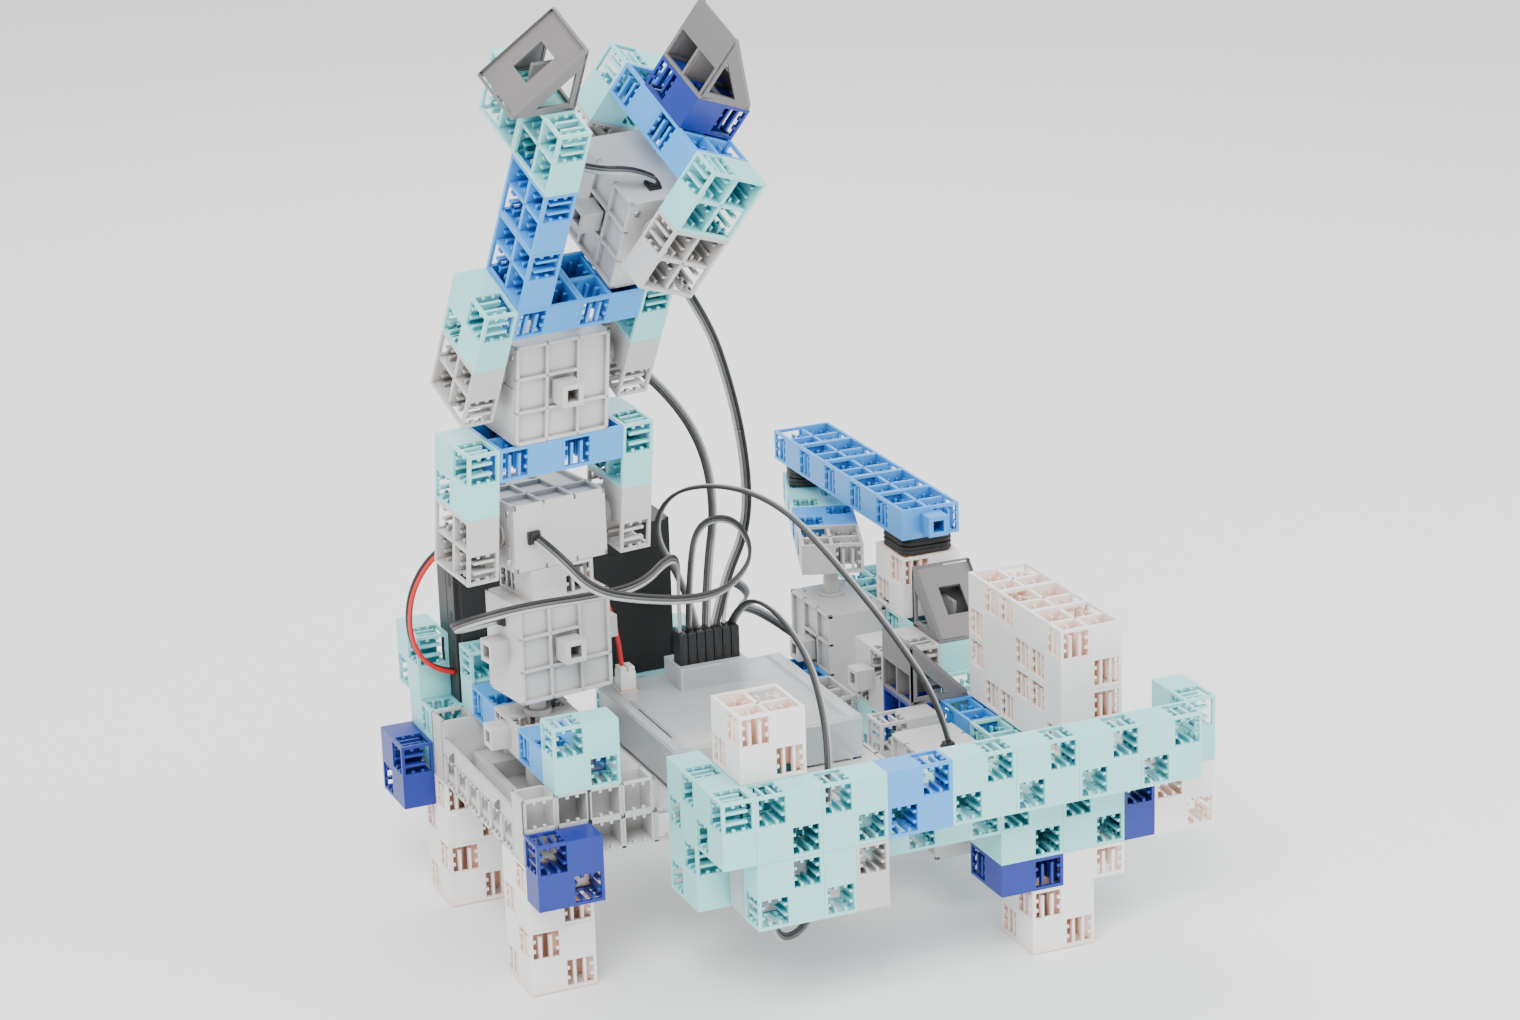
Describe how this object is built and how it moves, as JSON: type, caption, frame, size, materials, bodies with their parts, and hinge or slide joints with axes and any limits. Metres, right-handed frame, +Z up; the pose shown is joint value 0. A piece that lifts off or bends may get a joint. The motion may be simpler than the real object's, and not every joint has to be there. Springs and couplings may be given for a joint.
{
  "type": "robot arm kit",
  "caption": "Classroom robot arm kit of square-peg blocks: servo arm with gripper on a controller box, block store, slider-crank feeder and tilting gate.",
  "frame": {"origin": "centre of the kit's footprint on the floor", "axes": "+Z up, +X along the front bar to the right, +Y from the front bar to the battery box"},
  "size_m": [0.21, 0.2392, 0.2834],
  "materials": {
    "grey_plastic": "satin moulded ABS",
    "frosted_plastic": "frosted clear",
    "circuit_board": "solder mask",
    "black_plastic": "matte black",
    "white_plastic": "satin moulded ABS",
    "cell_metal": "plated",
    "navy_plastic": "satin moulded ABS",
    "mint_plastic": "satin moulded ABS",
    "blue_plastic": "satin moulded ABS",
    "dark_grey_plastic": "satin moulded ABS",
    "ring_rubber": "matte",
    "lead_plastic": "satin"
  },
  "bodies": {
    "base": {"controller_frame": "grey_plastic", "yaw_horn_block": "grey_plastic", "gate_stop_blocks": "grey_plastic", "fixed_servo_cases": "grey_plastic", "controller_cover": "frosted_plastic", "sensor_block": "frosted_plastic", "controller_board": "circuit_board", "lead_plugs": "black_plastic", "battery_box": "black_plastic", "fixed_servo_cores": "black_plastic", "battery_plug": "white_plastic", "leg_cubes": "white_plastic", "payload_cube": "white_plastic", "store_cubes": "white_plastic", "feeder_leg_blocks": "white_plastic", "battery_cells": "cell_metal", "side_half_blocks": "navy_plastic", "base_half_blocks": "mint_plastic", "battery_stand_blocks": "mint_plastic", "bar_front_half_blocks": "mint_plastic", "bar_end_half_blocks": "mint_plastic", "bar_lower_half_blocks": "mint_plastic", "bar_narrow_blocks": "mint_plastic", "payload_stand_cubes": "mint_plastic", "deck_half_blocks": "mint_plastic", "feeder_deck_half_blocks": "mint_plastic", "deck_stand_cubes": "mint_plastic", "bar_foot_half_blocks": "navy_plastic", "feeder_side_half_blocks": "blue_plastic", "guide_wedge": "dark_grey_plastic", "arm_leads_foot": "lead_plastic", "fixed_leads": "lead_plastic", "battery_leads": "lead_plastic"},
    "turntable": {"turntable_servo_cases": "grey_plastic", "turntable_servo_cores": "black_plastic", "turntable_spacer_block": "grey_plastic"},
    "lower_arm": {"lower_yoke_horn_blocks": "grey_plastic", "lower_yoke_half_blocks": "mint_plastic", "upper_tilt_servo_case": "grey_plastic", "upper_tilt_servo_core": "black_plastic", "arm_leads_middle": "lead_plastic"},
    "upper_arm": {"upper_yoke_horn_blocks": "grey_plastic", "upper_yoke_half_blocks": "mint_plastic", "fixed_finger_blocks": "blue_plastic", "fixed_finger_wedge": "dark_grey_plastic", "jaw_servo_case": "grey_plastic", "jaw_servo_core": "black_plastic", "jaw_lead_top": "lead_plastic"},
    "jaw": {"jaw_horn_blocks": "grey_plastic", "jaw_half_blocks": "blue_plastic", "jaw_wedge": "dark_grey_plastic"},
    "crank": {"crank_horn_block": "grey_plastic", "crank_half_blocks": "mint_plastic", "crank_rings": "ring_rubber"},
    "rod": {"rod_half_blocks": "blue_plastic"},
    "slider": {"slider_cube": "white_plastic", "slider_rings": "ring_rubber"},
    "gate": {"gate_horn_block": "grey_plastic", "gate_half_block": "navy_plastic", "gate_wedge": "dark_grey_plastic"}
  },
  "joints": [
    {"name": "base_yaw", "type": "hinge", "parent": "base", "child": "turntable", "pos_m": [-0.075, -0.02967, 0.074], "axis": [0, 0, 1], "range_deg": [-90, 90], "deforming": ["arm_leads_foot"]},
    {"name": "lower_tilt", "type": "hinge", "parent": "turntable", "child": "lower_arm", "pos_m": [-0.07006, -0.02888, 0.127], "axis": [0.9877, 0.1564, 0], "range_deg": [-30, 35], "deforming": ["arm_leads_middle", "arm_leads_foot"]},
    {"name": "upper_tilt", "type": "hinge", "parent": "lower_arm", "child": "upper_arm", "pos_m": [-0.06911, -0.0349, 0.17663], "axis": [0.9877, 0.1564, 0], "range_deg": [-40, 40], "deforming": ["jaw_lead_top", "arm_leads_middle"]},
    {"name": "jaw_hinge", "type": "hinge", "parent": "upper_arm", "child": "jaw", "pos_m": [-0.0447, -0.06115, 0.21751], "axis": [-0.1388, 0.8761, 0.4617], "range_deg": [-40, 40], "deforming": ["jaw_lead_top"]},
    {"name": "feeder_crank", "type": "hinge", "parent": "base", "child": "crank", "pos_m": [0.055, 0.05033, 0.07], "axis": [0, 0, -1], "range_deg": [-15, 15]},
    {"name": "rod_pivot", "type": "hinge", "parent": "crank", "child": "rod", "pos_m": [0.075, 0.1069, 0.083], "axis": [0, 0, 1], "range_deg": [-5.5, 5.5]},
    {"name": "slider_slide", "type": "slide", "parent": "base", "child": "slider", "axis": [0, -1, 0], "range_m": [-0.0066, 0.0066]},
    {"name": "gate_hinge", "type": "hinge", "parent": "base", "child": "gate", "pos_m": [0.04, -0.03467, 0.04], "axis": [0, -1, 0], "range_deg": [0, 40]}
  ],
  "couplings": [
    {"joint": "rod_pivot", "follows": "feeder_crank", "ratio": 0.36},
    {"joint": "slider_slide", "follows": "feeder_crank", "m_per_rad": 0.0245}
  ]
}
